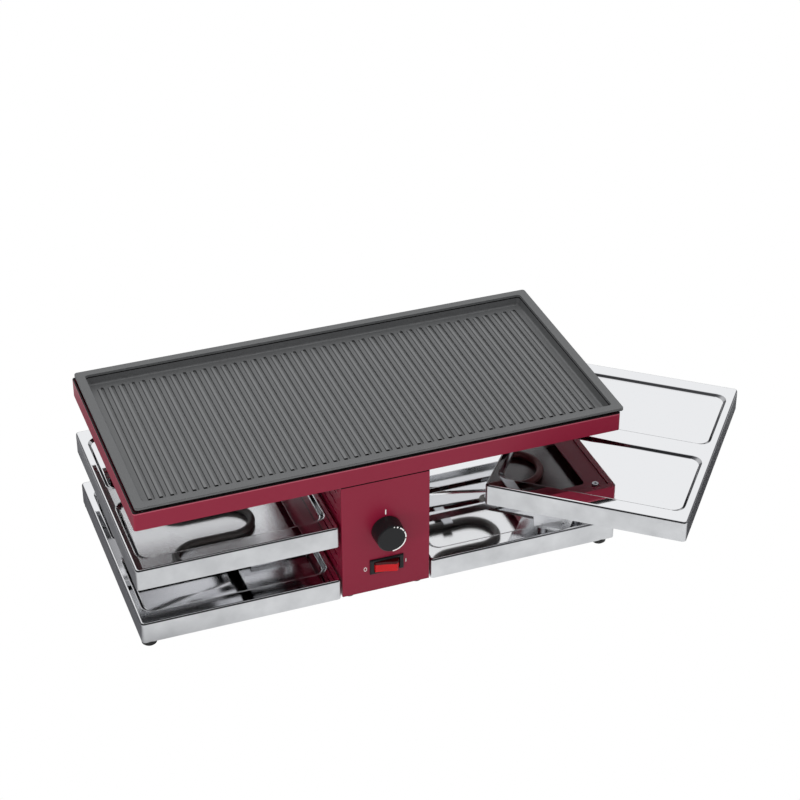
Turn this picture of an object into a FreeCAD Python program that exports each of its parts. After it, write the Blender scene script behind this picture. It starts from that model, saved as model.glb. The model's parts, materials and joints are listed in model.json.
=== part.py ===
"""Raclette grill with a ribbed plate, two fixed trays and two swing-out trays.

Millimetres. X runs along the grill, Y to the back and Z up. The origin lies on
the table under the middle of the column. The left upper tray is closed and the
right one is drawn out and swung to the front.
"""
import FreeCAD
import Part
import math
import os

V = FreeCAD.Vector
UP = V(0, 0, 1)
BACK = V(0, 1, 0)
RIGHT = V(1, 0, 0)

# Heights of the levels, from the table up
FOOT_H = 4.7
TRAY_H = 21.3
LOWER_SPACE = 38.0
UPPER_SPACE = 42.1
HOUSING_H = 18.8
RIM_GAP = 1.6

# Plan sizes
HOUSING_L = 460.0
HOUSING_W = 235.0
COLUMN_W = 84.6
TRAY_L = (HOUSING_L - COLUMN_W) / 2 - 0.2
TRAY_D = HOUSING_W + 1.0
LOWER_GAP = 1.4
UPPER_GAP = 2.2

# Sheets, running clearances and screws
SHEET = 1.2
TRAY_T = 0.8
BASE_T = 1.6
FLANGE = 12.0
CLEAR = 0.3
FIT = 0.05
SCREW_R = 1.6
HEAD_R = 3.0
HEAD_H = 1.8
SCREW_L = 7.0

# Cast plate
PLATE_L = HOUSING_L + 1.0
PLATE_W = HOUSING_W + 0.5
PLATE_SHIFT_X = 2.8
PLATE_SHIFT_Y = 0.5
PLATE_CORNER = 3.0
RIM_W = 8.5
RIM_T = 2.8
TUB_DEPTH = 9.9
TUB_DRAFT = 2.5
TUB_WALL = 2.4
FLOOR_T = 2.8
TUB_FILLET = 2.0
GROOVE_PITCH = 10.0
GROOVE_W = 3.0
GROOVE_DEPTH = 1.6
GROOVE_FRONT = 24.0
GROOVE_BACK = 20.5
GROOVE_END = 20.5
GROOVE_SHIFT = 1.2
PLATE_LIFT = 60.0

# Housing
HOUSING_CORNER = 2.5
TOP_LIP = 1.2
BOTTOM_LIP = 5.5
FLANGE_RIGHT = 25.0
FLANGE_LEFT = 16.5
FLANGE_FRONT = 14.5
FLOOR_SHEET = 1.0
PANEL_SEAM = 0.6
SEAT_IN = 17.0
SEAT_SCREW_IN = 10.0
SEAT_X = HOUSING_L / 2 - SEAT_IN
SEAT_L = 16.0

# Heating elements: one tube on each side, with two outer bends and an inner one
TUBE_D = 7.0
ELEMENT_END = 50.5
ELEMENT_SIDE = 42.0
INNER_BEND_R = 22.5
OUTER_BEND_R = (HOUSING_W / 2 - ELEMENT_SIDE - INNER_BEND_R) / 2
OUTER_BEND_X = HOUSING_L / 2 - ELEMENT_END - OUTER_BEND_R
INNER_BEND_IN = 36.0
INNER_BEND_X = OUTER_BEND_X - INNER_BEND_IN
COLD_END_X = 26.0
STRIP_T = 1.1
STRIP_W = 10.0
STRIP_IN = 17.0
STRIP_X = OUTER_BEND_X - STRIP_IN
STRIP_OVER = 2.0
SADDLE_L = 8.0
SADDLE_FOOT = 10.0
TERMINAL_R = 2.6
TERMINAL_L = 14.0

# Column
PANEL_T = 2.0
PANEL_BOTTOM = 5.3
PANEL_ROUND = 0.8
LOUVRE_H = 2.2
LOUVRE_PITCH = 11.6
LOUVRE_L = 56.0
LOUVRE_Z = 32.5
LOUVRES = 8
LOUVRE_INSET = 14.0

# Knob and thermostat
KNOB_Z = 72.6
KNOB_R = 14.3
KNOB_H = 16.5
KNOB_STAND = 0.6
KNOB_TAPER = 0.5
SHAFT_R = 3.0
SHAFT_IN = 9.0
BUSH_R = 5.0
NUT_FLATS = 13.0
NUT_T = 2.4
THERMO_W = 38.0
THERMO_D = 24.0

# Rocker switch
SWITCH_X = 0.3
SWITCH_Z = 33.1
BEZEL_L = 32.6
BEZEL_H = 15.8
BEZEL_T = 1.8
SWITCH_OPEN_L = 25.2
SWITCH_OPEN_H = 11.2
SWITCH_WALL = 1.1
SWITCH_DEPTH = 22.0
ROCKER_PIVOT_IN = 4.2
ROCKER_TILT = 14.0
ROCKER_VALLEY = 3.0
ROCKER_STAND = 2.7
ROCKER_GAP = 0.25
TRUNNION_R = 1.2

# Trays
TRAY_CORNER = 3.5
TRAY_EDGE = 2.2
RECESS_SIDE = 6.5
RECESS_END = 15.6
RECESS_RIDGE = 21.2
RECESS_DEPTH = 2.8
RECESS_R = 10.0
RECESS_DRAFT = 3.2
RECESS_EDGE = 2.2
RECESS_ROOT = 2.2
POST_R = 3.6
POST_IN = 25.0
POST_X = TRAY_L / 2 - POST_IN
POST_END = 7.6
CARRIER_L = 68.0
CARRIER_POST_IN = 9.0
RIGHT_RISE = 13.3
SPACER_R = 5.0

# Rail, glides and swivel
PIN_INSET = 29.05
PIN_Y = 10.0
PIN_R = 3.0
DRAW_X = 138.45
DRAW_Y = 9.02
SWING = 38.9
GUIDE_X = 40.0
GUIDE_Y = 32.0
GUIDE_R = 2.5
BRACKET_T = 3.0
BRACKET_L = 88.0
BRACKET_ARM = 9.0
BRACKET_EDGE = 8.0
GLIDE_TOP = 1.0
GLIDE_FOOT = 2.0
GLIDE_L = 16.0
RAIL_T = 2.5
RAIL_FRONT = 11.0
RAIL_BACK = 50.0
RAIL_FLANGE = 8.0
RAIL_END = 8.0
RAIL_LEG = 14.0
RAIL_LEG_H = 20.0
RAIL_LEG_L = 16.0
RAIL_LEG_IN = 16.0
RAIL_DRILL = 20.0

# Feet, inlet and wiring
FOOT_R = 7.0
FOOT_IN = 10.6
FOOT_SHIFT = -3.0
FOOT_FRONT = 6.5
COLUMN_FOOT_FRONT = 11.0
COLUMN_FOOT_R = 5.8
COLUMN_FOOT_X = 33.0
FOOT_PEG = 2.5
GLAND_Z = 34.0
GLAND_R = 9.0
GLAND_BORE = 4.0
GLAND_OUT = 9.0
GLAND_IN = 14.0
WIRE_R = 1.3
BLOCK_L = 36.0
BLOCK_W = 16.0
BLOCK_H = 14.0

# Levels and faces that follow from the sizes above
Z_LOWER = FOOT_H
Z_BASE = Z_LOWER + BASE_T
Z_UPPER = Z_LOWER + TRAY_H + LOWER_SPACE
Z_HOUSING = Z_UPPER + TRAY_H + UPPER_SPACE
Z_TOP = Z_HOUSING + HOUSING_H
Z_RIM = Z_TOP + RIM_GAP + RIM_T
Z_TUB = Z_RIM - TUB_DEPTH
Z_PLATE = Z_TUB - FLOOR_T
Z_TUBE = Z_PLATE - CLEAR - TUBE_D / 2
Z_STRIP = Z_TUBE - TUBE_D / 2 - STRIP_T
Z_FLOOR = Z_STRIP - FLOOR_SHEET
Z_RAIL = Z_UPPER - BRACKET_T - GLIDE_TOP - 2 * CLEAR
FRONT = -HOUSING_W / 2
REAR = HOUSING_W / 2
SIDE = COLUMN_W / 2
INSIDE = SIDE - SHEET
PANEL_BACK = FRONT + PANEL_T
LOWER_X = SIDE + LOWER_GAP + TRAY_L / 2
UPPER_X = SIDE + UPPER_GAP + TRAY_L / 2
PIN_X = SIDE - PIN_INSET
PIN_LOCAL = UPPER_X - PIN_X
PIN_OUT_X = PIN_X + DRAW_X
PIN_OUT_Y = PIN_Y - DRAW_Y
SLIDE = math.hypot(DRAW_X, DRAW_Y)
SLIDE_X = DRAW_X / SLIDE
SLIDE_Y = -DRAW_Y / SLIDE
RECESS_W = (TRAY_D - 2 * RECESS_END - RECESS_RIDGE) / 2
THERMO_BACK = PANEL_BACK + THERMO_D


def box(x0, x1, y0, y1, z0, z1):
    return Part.makeBox(x1 - x0, y1 - y0, z1 - z0, V(x0, y0, z0))


def cylinder(radius, height, at, axis=UP):
    return Part.makeCylinder(radius, height, at, axis)


def rounded_wire(x0, x1, y0, y1, z, r):
    """A rectangle with round corners at height z."""
    k = r * (1 - math.sqrt(0.5))
    corners = [
        (V(x1 - r, y0, z), V(x1 - k, y0 + k, z), V(x1, y0 + r, z)),
        (V(x1, y1 - r, z), V(x1 - k, y1 - k, z), V(x1 - r, y1, z)),
        (V(x0 + r, y1, z), V(x0 + k, y1 - k, z), V(x0, y1 - r, z)),
        (V(x0, y0 + r, z), V(x0 + k, y0 + k, z), V(x0 + r, y0, z)),
    ]
    edges = []
    last = corners[-1][2]
    for start, middle, end in corners:
        edges.append(Part.makeLine(last, start))
        edges.append(Part.Arc(start, middle, end).toShape())
        last = end
    return Part.Wire(edges)


def rounded_prism(x0, x1, y0, y1, z0, z1, r):
    return Part.Face(rounded_wire(x0, x1, y0, y1, z0, r)).extrude(V(0, 0, z1 - z0))


def tapered_prism(half_x, half_y, inset, r, z0, z1):
    """A round-cornered block that is smaller by inset at its bottom z0."""
    low = rounded_wire(inset - half_x, half_x - inset, inset - half_y, half_y - inset, z0, r)
    high = rounded_wire(-half_x, half_x, -half_y, half_y, z1, r)
    return Part.makeLoft([low, high], True, True)


def polygon_prism(points, sweep):
    return Part.Face(Part.makePolygon(points + [points[0]])).extrude(sweep)


def capsule(x0, y0, x1, y1, width, z0, z1):
    """A straight slot with round ends, between two end centres."""
    ends = (V(x0, y0, z0), V(x1, y1, z0))
    along = (ends[1] - ends[0]).normalize()
    across = V(-along.y, along.x, 0) * (width / 2)
    along = along * (width / 2)
    wire = Part.Wire([
        Part.makeLine(ends[0] - across, ends[1] - across),
        Part.Arc(ends[1] - across, ends[1] + along, ends[1] + across).toShape(),
        Part.makeLine(ends[1] + across, ends[0] + across),
        Part.Arc(ends[0] + across, ends[0] - along, ends[0] - across).toShape(),
    ])
    return Part.Face(wire).extrude(V(0, 0, z1 - z0))


def edges_at(shape, z):
    """The edges that lie wholly at height z."""
    found = []
    for edge in shape.Edges:
        bounds = edge.BoundBox
        if abs(bounds.ZMin - z) < 1e-4 and abs(bounds.ZMax - z) < 1e-4:
            found.append(edge)
    return found


def moved(shape, x=0.0, y=0.0, z=0.0):
    copy = shape.copy()
    copy.translate(V(x, y, z))
    return copy


def mirrored(shape):
    """The same piece on the other side of the column."""
    return shape.mirror(V(0, 0, 0), RIGHT)


def screw(at, axis, length=SCREW_L):
    """A pan-head screw: at is under its head and axis points into the hole."""
    axis = V(axis).normalize()
    head = cylinder(HEAD_R, HEAD_H, at - axis * HEAD_H, axis)
    slot_deep = cylinder(HEAD_R * 0.45, HEAD_H * 0.5, at - axis * HEAD_H, axis)
    return head.cut(slot_deep).fuse(cylinder(SCREW_R, length, at, axis))


def bent_path(points, radius):
    """Straight runs joined by tangent arcs of one radius."""
    edges = []
    last = points[0]
    for before, corner, after in zip(points, points[1:], points[2:]):
        a = (before - corner).normalize()
        b = (after - corner).normalize()
        half = a.getAngle(b) / 2
        reach = radius / math.tan(half)
        centre = corner + (a + b).normalize() * (radius / math.sin(half))
        middle = centre + (corner - centre).normalize() * radius
        start = corner + a * reach
        end = corner + b * reach
        edges.append(Part.makeLine(last, start))
        edges.append(Part.Arc(start, middle, end).toShape())
        last = end
    edges.append(Part.makeLine(last, points[-1]))
    return edges


def tube(edges, radius):
    """A round bar swept along a chain of lines and arcs."""
    start = edges[0].valueAt(edges[0].FirstParameter)
    heading = edges[0].tangentAt(edges[0].FirstParameter)
    ring = Part.Wire([Part.makeCircle(radius, start, heading)])
    return Part.Wire(edges).makePipeShell([ring], True, False)


def turned_about(shape, x, y, degrees):
    copy = shape.copy()
    copy.rotate(V(x, y, 0), UP, degrees)
    return copy


def grill_plate():
    """Cast plate: rim, drafted tub with a filleted floor, and the grooves."""
    half_l = PLATE_L / 2
    half_w = PLATE_W / 2
    rim = rounded_prism(-half_l, half_l, -half_w, half_w, Z_RIM - RIM_T, Z_RIM, PLATE_CORNER)
    rim = rim.makeFillet(0.8, edges_at(rim, Z_RIM))
    open_l = half_l - RIM_W
    open_w = half_w - RIM_W
    # The hollow runs on past the rim at the same draft, so its mouth is clean
    over = 1.0
    spread = TUB_DRAFT * over / TUB_DEPTH
    hollow = tapered_prism(open_l + spread, open_w + spread, TUB_DRAFT + spread,
                           PLATE_CORNER, Z_TUB, Z_RIM + over)
    hollow = hollow.makeFillet(TUB_FILLET, edges_at(hollow, Z_TUB))
    tub = tapered_prism(open_l + TUB_WALL, open_w + TUB_WALL, TUB_DRAFT,
                        PLATE_CORNER + TUB_WALL, Z_PLATE, Z_RIM - RIM_T / 2)
    plate = rim.fuse(tub).cut(hollow)
    grooves = []
    count = int((PLATE_L - 2 * GROOVE_END) / GROOVE_PITCH + 0.001) + 1
    first = GROOVE_SHIFT - GROOVE_PITCH * (count - 1) / 2
    for i in range(count):
        x = first + i * GROOVE_PITCH
        grooves.append(capsule(x, GROOVE_FRONT - half_w, x, half_w - GROOVE_BACK, GROOVE_W,
                               Z_TUB - GROOVE_DEPTH, Z_TUB + 1))
    plate = plate.cut(Part.makeCompound(grooves))
    return moved(plate, PLATE_SHIFT_X, PLATE_SHIFT_Y)


def heater_housing():
    """Folded ring with a narrow top lip and a wider lip at the bottom."""
    half_l = HOUSING_L / 2
    half_w = HOUSING_W / 2
    ring = rounded_prism(-half_l, half_l, -half_w, half_w, Z_HOUSING, Z_TOP, HOUSING_CORNER)
    ring = ring.makeFillet(0.8, edges_at(ring, Z_TOP))
    inner_l = half_l - SHEET
    inner_w = half_w - SHEET
    hollow = rounded_prism(-inner_l, inner_l, -inner_w, inner_w,
                           Z_HOUSING + SHEET, Z_TOP - SHEET, HOUSING_CORNER - SHEET)
    mouth_l = half_l - TOP_LIP
    mouth_w = half_w - TOP_LIP
    mouth = rounded_prism(-mouth_l, mouth_l, -mouth_w, mouth_w,
                          Z_TOP - SHEET * 2, Z_TOP + 1, PLATE_CORNER)
    under_l = half_l - BOTTOM_LIP
    under_w = half_w - BOTTOM_LIP
    under = box(-under_l, under_l, -under_w, under_w, Z_HOUSING - 1, Z_HOUSING + SHEET * 2)
    return ring.cut(hollow).cut(mouth).cut(under)


def seat_screw_points():
    """Places of the screws that hold the plate seats, one in each corner."""
    y = HOUSING_W / 2 - SEAT_SCREW_IN
    return [(sx * SEAT_X, sy * y) for sx in (-1, 1) for sy in (-1, 1)]


def seat_screws(holes=False):
    """Screws up through the floor into the plate seats, or the holes for them."""
    grip = SHEET + FLOOR_SHEET + 2.0
    under = Z_HOUSING + SHEET
    pieces = []
    for x, y in seat_screw_points():
        if holes:
            pieces.append(cylinder(SCREW_R, grip * 2, V(x, y, under - grip)))
        else:
            pieces.append(screw(V(x, y, under), UP, grip))
    return Part.makeCompound(pieces)


def column_screw_points():
    y_front = PANEL_BACK + FLANGE * 1.6
    y_back = REAR - FLANGE * 1.6
    x = INSIDE - FLANGE / 2
    return [(sx * x, y) for sx in (-1, 1) for y in (y_front, y_back)]


def housing_floor():
    """Sheet on the bottom lip, cut open below both heating elements."""
    inset = SHEET + CLEAR
    half_l = HOUSING_L / 2 - inset
    half_w = HOUSING_W / 2 - inset
    sheet = box(-half_l, half_l, -half_w, half_w, Z_HOUSING + SHEET, Z_FLOOR + FLOOR_SHEET)
    middle = box(-SIDE - FLANGE * 1.6, SIDE + FLANGE * 1.6,
                 BOTTOM_LIP - HOUSING_W / 2 + CLEAR, HOUSING_W / 2 - BOTTOM_LIP - CLEAR,
                 Z_HOUSING, Z_FLOOR + FLOOR_SHEET)
    sheet = sheet.fuse(middle).removeSplitter()
    for sign in (-1, 1):
        near = SIDE + FLANGE * 1.6
        far = HOUSING_L / 2 - (FLANGE_RIGHT if sign > 0 else FLANGE_LEFT)
        reach = HOUSING_W / 2 - FLANGE_FRONT
        opening = rounded_prism(min(sign * near, sign * far), max(sign * near, sign * far),
                                -reach, reach, Z_HOUSING - 1, Z_FLOOR + 5, 5.0)
        sheet = sheet.cut(opening)
    wires = box(-COLD_END_X, COLD_END_X, -FLANGE, FLANGE * 3, Z_HOUSING - 1, Z_FLOOR + 5)
    sheet = sheet.cut(wires).cut(seat_screws(True))
    holes = [cylinder(SCREW_R, 8, V(x, y, Z_HOUSING - 2)) for x, y in column_screw_points()]
    return sheet.cut(Part.makeCompound(holes))


def plate_seats():
    """Four folded angles on the floor that the plate rests on."""
    seat_top = Z_PLATE - CLEAR
    base = Z_FLOOR + FLOOR_SHEET
    wall_y = HOUSING_W / 2 - SHEET - CLEAR
    foot_y = wall_y - FLANGE
    profile = [
        V(0, foot_y, base), V(0, wall_y - 2, base), V(0, wall_y - 2, base + SHEET),
        V(0, foot_y + SHEET, base + SHEET), V(0, foot_y + SHEET, seat_top - SHEET),
        V(0, wall_y - 5, seat_top - SHEET), V(0, wall_y - 5, seat_top), V(0, foot_y, seat_top),
    ]
    seat = polygon_prism(profile, V(SEAT_L, 0, 0))
    seats = []
    for x in (-SEAT_X, SEAT_X):
        at = moved(seat, x - SEAT_L / 2)
        seats.append(at.cut(seat_screws(True)))
        seats.append(at.mirror(V(0, 0, 0), BACK).cut(seat_screws(True)))
    return Part.makeCompound(seats)


def element_edges():
    """Centre line of the right-hand element, from one cold end to the other."""
    inner = INNER_BEND_R
    outer = inner + 2 * OUTER_BEND_R
    middle = inner + OUTER_BEND_R
    far = OUTER_BEND_X + OUTER_BEND_R
    near = INNER_BEND_X - inner
    z = Z_TUBE

    def turn(x_centre, y_from, y_to, x_top):
        y_mid = (y_from + y_to) / 2
        return Part.Arc(V(x_centre, y_from, z), V(x_top, y_mid, z), V(x_centre, y_to, z)).toShape()

    return [
        Part.makeLine(V(COLD_END_X, -outer, z), V(OUTER_BEND_X, -outer, z)),
        turn(OUTER_BEND_X, -outer, -inner, far),
        Part.makeLine(V(OUTER_BEND_X, -inner, z), V(INNER_BEND_X, -inner, z)),
        turn(INNER_BEND_X, -inner, inner, near),
        Part.makeLine(V(INNER_BEND_X, inner, z), V(OUTER_BEND_X, inner, z)),
        turn(OUTER_BEND_X, inner, outer, far),
        Part.makeLine(V(OUTER_BEND_X, outer, z), V(COLD_END_X, outer, z)),
    ]


def element_ends():
    y = INNER_BEND_R + 2 * OUTER_BEND_R
    return [-y, y]


def element_strips():
    """Steel strips from the floor's edges that carry the outer runs of each tube."""
    reach = HOUSING_W / 2 - SHEET - CLEAR
    near = element_ends()[1] - TUBE_D / 2 - STRIP_OVER
    pieces = []
    for x in (-STRIP_X, STRIP_X):
        strip = box(x - STRIP_W / 2, x + STRIP_W / 2, near, reach, Z_STRIP, Z_STRIP + STRIP_T)
        pieces.append(strip)
        pieces.append(strip.mirror(V(0, 0, 0), BACK))
    return Part.makeCompound(pieces)


def element_terminals():
    """Ceramic beads on the cold ends, with the connecting pins in them."""
    pieces = []
    for sign in (-1, 1):
        for y in element_ends():
            at = V(sign * COLD_END_X, y, Z_TUBE)
            bead = cylinder(TERMINAL_R, TERMINAL_L * 0.4, at, V(-sign, 0, 0))
            pin = cylinder(TERMINAL_R * 0.4, TERMINAL_L, at, V(-sign, 0, 0))
            pieces.append(bead.fuse(pin))
    return Part.makeCompound(pieces)


def element_saddles():
    """Spring clips on the floor, open at the top, that grip the cold ends."""
    low = Z_FLOOR + FLOOR_SHEET
    r = TUBE_D / 2
    saddles = []
    for sign in (-1, 1):
        for y in element_ends():
            x0 = sign * (COLD_END_X + SADDLE_L * 0.75) - SADDLE_L / 2
            x1 = x0 + SADDLE_L
            front = y - SADDLE_FOOT
            back = y + SADDLE_FOOT
            clip = cylinder(r + SHEET, SADDLE_L, V(x0, y, Z_TUBE), RIGHT)
            clip = clip.fuse(box(x0, x1, front, back, low, low + STRIP_T))
            clip = clip.common(box(x0, x1, front, back, low, Z_TUBE + r / 2))
            clip = clip.cut(cylinder(r, SADDLE_L + 2, V(x0 - 1, y, Z_TUBE), RIGHT))
            saddles.append(clip.removeSplitter())
    return saddles


def column_side():
    """Right side wall with folded flanges, louvres and the opening for the rail."""
    profile = [
        V(SIDE, 0, Z_BASE), V(SIDE, 0, Z_HOUSING),
        V(INSIDE - FLANGE, 0, Z_HOUSING), V(INSIDE - FLANGE, 0, Z_HOUSING - SHEET),
        V(INSIDE, 0, Z_HOUSING - SHEET), V(INSIDE, 0, Z_BASE + SHEET),
        V(INSIDE - FLANGE, 0, Z_BASE + SHEET), V(INSIDE - FLANGE, 0, Z_BASE),
    ]
    side = moved(polygon_prism(profile, V(0, REAR - PANEL_BACK, 0)), 0, PANEL_BACK)
    side = side.fuse(box(INSIDE - FLANGE, INSIDE, PANEL_BACK, PANEL_BACK + SHEET,
                         Z_BASE, Z_HOUSING)).removeSplitter()
    cuts = []
    for bank in (-1, 1):
        for i in range(LOUVRES):
            z = LOUVRE_Z + i * LOUVRE_PITCH
            near = FRONT + LOUVRE_INSET + LOUVRE_H / 2
            far = near + LOUVRE_L
            slot = capsule(0, near, 0, far, LOUVRE_H, 0, 3 * SHEET)
            slot.rotate(V(0, 0, 0), BACK, 90)
            slot = moved(slot, INSIDE - SHEET, 0, z)
            if bank > 0:
                slot = slot.mirror(V(0, 0, 0), BACK)
            cuts.append(slot)
    cuts.append(rail_opening())
    for x, y in column_screw_points():
        if x > 0:
            cuts.append(cylinder(SCREW_R, Z_HOUSING, V(x, y, 0)))
    for x, y in column_foot_points():
        if x > 0:
            cuts.append(cylinder(FOOT_PEG + 0.8 + CLEAR, Z_BASE + 2 * SHEET, V(x, y, 0)))
    for z in panel_screw_heights():
        cuts.append(cylinder(SCREW_R, 10, V(INSIDE - FLANGE / 2, PANEL_BACK - 5, z), BACK))
    for z in back_screw_heights():
        cuts.append(cylinder(SCREW_R, 10, V(INSIDE - 5, REAR - SHEET - FLANGE / 2, z), RIGHT))
    return side.cut(Part.makeCompound(cuts))


def rail_opening():
    """Room in the side wall for the rail and for the bracket that runs above it."""
    return box(INSIDE - 1, SIDE + 1, -RAIL_FRONT - 2, RAIL_BACK + CLEAR,
               Z_RAIL - RAIL_FLANGE, Z_UPPER + 2)


def panel_screw_heights():
    return [Z_BASE + FLANGE, Z_HOUSING - FLANGE]


def back_screw_heights():
    """Heights of the back's side screws, which keep clear of the lower trays."""
    return [Z_LOWER + TRAY_H + FLANGE / 2, Z_HOUSING - FLANGE]


def column_back():
    """Back sheet with side flanges inside the walls, vents and the inlet hole."""
    inside = INSIDE - CLEAR / 3
    profile = [
        V(-inside, REAR, 0), V(-inside, REAR - FLANGE, 0), V(SHEET - inside, REAR - FLANGE, 0),
        V(SHEET - inside, REAR - SHEET, 0), V(inside - SHEET, REAR - SHEET, 0),
        V(inside - SHEET, REAR - FLANGE, 0), V(inside, REAR - FLANGE, 0), V(inside, REAR, 0),
    ]
    low = Z_BASE + SHEET
    high = Z_HOUSING - SHEET
    sheet = moved(polygon_prism(profile, V(0, 0, high - low)), 0, 0, low)
    cuts = [cylinder(GLAND_R, FLANGE, V(0, REAR - FLANGE / 2, GLAND_Z), BACK)]
    for i in range(LOUVRES // 2):
        z = LOUVRE_Z + (i + LOUVRES // 2) * LOUVRE_PITCH
        slot = capsule(-LOUVRE_L / 2, 0, LOUVRE_L / 2, 0, LOUVRE_H, 0, 3 * SHEET)
        slot.rotate(V(0, 0, 0), RIGHT, -90)
        cuts.append(moved(slot, 0, REAR - 2 * SHEET, z))
    for z in back_screw_heights():
        for sign in (-1, 1):
            at = V(sign * (inside - 5), REAR - SHEET - FLANGE / 2, z)
            cuts.append(cylinder(SCREW_R, 10, at, V(sign, 0, 0)))
    return sheet.cut(Part.makeCompound(cuts))


def column_front_panel():
    """Front panel with screw bosses and the holes for the knob and the switch."""
    top = Z_HOUSING - PANEL_SEAM
    panel = box(-SIDE, SIDE, FRONT, PANEL_BACK, PANEL_BOTTOM, top)
    front_edges = []
    for edge in panel.Edges:
        if abs(edge.BoundBox.YMax - FRONT) < 1e-4:
            front_edges.append(edge)
    panel = panel.makeFillet(PANEL_ROUND, front_edges)
    panel = panel.cut(cylinder(BUSH_R + CLEAR / 2, 10, V(0, FRONT - 2, KNOB_Z), BACK))
    half_l = SWITCH_OPEN_L / 2 + SWITCH_WALL + CLEAR / 2
    half_h = SWITCH_OPEN_H / 2 + SWITCH_WALL + CLEAR / 2
    panel = panel.cut(box(SWITCH_X - half_l, SWITCH_X + half_l, FRONT - 1, PANEL_BACK + 1,
                          SWITCH_Z - half_h, SWITCH_Z + half_h))
    for sign in (-1, 1):
        for z in panel_screw_heights():
            at = V(sign * (INSIDE - FLANGE / 2), FRONT + PANEL_T / 2, z)
            panel = panel.cut(cylinder(SCREW_R, PANEL_T, at, BACK))
    return panel


def panel_screws():
    """Screws from behind the front flanges, and through the sides of the back."""
    pieces = []
    grip = SHEET + PANEL_T / 2
    for sign in (-1, 1):
        for z in panel_screw_heights():
            at = V(sign * (INSIDE - FLANGE / 2), PANEL_BACK + SHEET, z)
            pieces.append(screw(at, V(0, -1, 0), grip))
        for z in back_screw_heights():
            at = V(sign * SIDE, REAR - SHEET - FLANGE / 2, z)
            pieces.append(screw(at, V(-sign, 0, 0), SHEET * 2 + 3))
    return Part.makeCompound(pieces)


def housing_screws():
    """Screws that hold the housing floor down on the column's top flanges."""
    pieces = []
    for x, y in column_screw_points():
        pieces.append(screw(V(x, y, Z_FLOOR + FLOOR_SHEET), V(0, 0, -1), Z_FLOOR - Z_HOUSING + 4))
    return Part.makeCompound(pieces + list(seat_screws().Solids))


def thermostat_body():
    """Thermostat behind the panel, with the blind hole of its shaft."""
    half = THERMO_W / 2
    body = box(-half, half, PANEL_BACK, THERMO_BACK, KNOB_Z - half, KNOB_Z + half)
    upright = [edge for edge in body.Edges if edge.BoundBox.YLength > THERMO_D - 1e-3]
    body = body.makeFillet(4.0, upright)
    hole = cylinder(SHAFT_R + FIT, SHAFT_IN + CLEAR, V(0, PANEL_BACK, KNOB_Z), BACK)
    return body.cut(hole)


def thermostat_bush():
    """Threaded bush through the panel, with its flat nut on the outside."""
    length = PANEL_T + NUT_T + 0.6
    bush = cylinder(BUSH_R, length, V(0, PANEL_BACK - length, KNOB_Z), BACK)
    points = []
    for i in range(6):
        angle = math.radians(60 * i)
        across = NUT_FLATS / math.sqrt(3)
        points.append(V(across * math.cos(angle), FRONT, KNOB_Z + across * math.sin(angle)))
    nut = polygon_prism(points, V(0, -NUT_T, 0))
    return bush.fuse(nut).cut(cylinder(SHAFT_R + FIT, 30, V(0, FRONT - 15, KNOB_Z), BACK))


def control_knob():
    """Turned knob with a hollow skirt round the nut and a bore for the shaft."""
    back = -KNOB_STAND
    face = back - KNOB_H
    inner = KNOB_R - 2.4
    profile = [
        V(0, face, 0), V(KNOB_R - KNOB_TAPER - 1, face, 0), V(KNOB_R - KNOB_TAPER, face + 1, 0),
        V(KNOB_R, back - 1.2, 0), V(KNOB_R, back, 0), V(inner, back, 0),
        V(inner, back - NUT_T - 3, 0), V(0, back - NUT_T - 3, 0),
    ]
    face_2d = Part.Face(Part.makePolygon(profile + [profile[0]]))
    knob = face_2d.revolve(V(0, 0, 0), BACK, 360)
    boss_back = back - NUT_T - 1.2
    boss = cylinder(SHAFT_R + 2.2, -face - NUT_T - 2.2, V(0, boss_back, 0), V(0, -1, 0))
    knob = knob.fuse(boss)
    shaft_end = KNOB_H + KNOB_STAND - 4
    knob = knob.cut(cylinder(SHAFT_R, shaft_end, V(0, 0, 0), V(0, -1, 0)))
    return moved(knob, 0, FRONT, KNOB_Z)


def thermostat_shaft():
    length = SHAFT_IN + PANEL_T + KNOB_STAND + KNOB_H - 4.6
    return cylinder(SHAFT_R, length, V(0, PANEL_BACK + SHAFT_IN, KNOB_Z), V(0, -1, 0))


def switch_housing():
    """Snap-in switch body with its bezel and the bores of the rocker."""
    half_l = SWITCH_OPEN_L / 2 + SWITCH_WALL
    half_h = SWITCH_OPEN_H / 2 + SWITCH_WALL
    bezel = box(-BEZEL_L / 2, BEZEL_L / 2, -BEZEL_T, 0, -BEZEL_H / 2, BEZEL_H / 2)
    front_edges = []
    for edge in bezel.Edges:
        if abs(edge.BoundBox.YMax + BEZEL_T) < 1e-4:
            front_edges.append(edge)
    bezel = bezel.makeFillet(1.0, front_edges)
    body = box(-half_l, half_l, 0, SWITCH_DEPTH, -half_h, half_h)
    pocket = box(-SWITCH_OPEN_L / 2, SWITCH_OPEN_L / 2, -BEZEL_T - 1, SWITCH_DEPTH - 8,
                 -SWITCH_OPEN_H / 2, SWITCH_OPEN_H / 2)
    bore = cylinder(TRUNNION_R + FIT, SWITCH_OPEN_H + 2 * ROCKER_GAP,
                    V(0, ROCKER_PIVOT_IN - BEZEL_T, -SWITCH_OPEN_H / 2 - ROCKER_GAP))
    blades = Part.makeCompound([
        box(x - 3.1, x + 3.1, SWITCH_DEPTH, SWITCH_DEPTH + 7, -0.4, 0.4) for x in (-8, 0, 8)
    ])
    whole = bezel.fuse(body).fuse(blades).cut(pocket).cut(bore).removeSplitter()
    return moved(whole, SWITCH_X, FRONT, SWITCH_Z)


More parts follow.
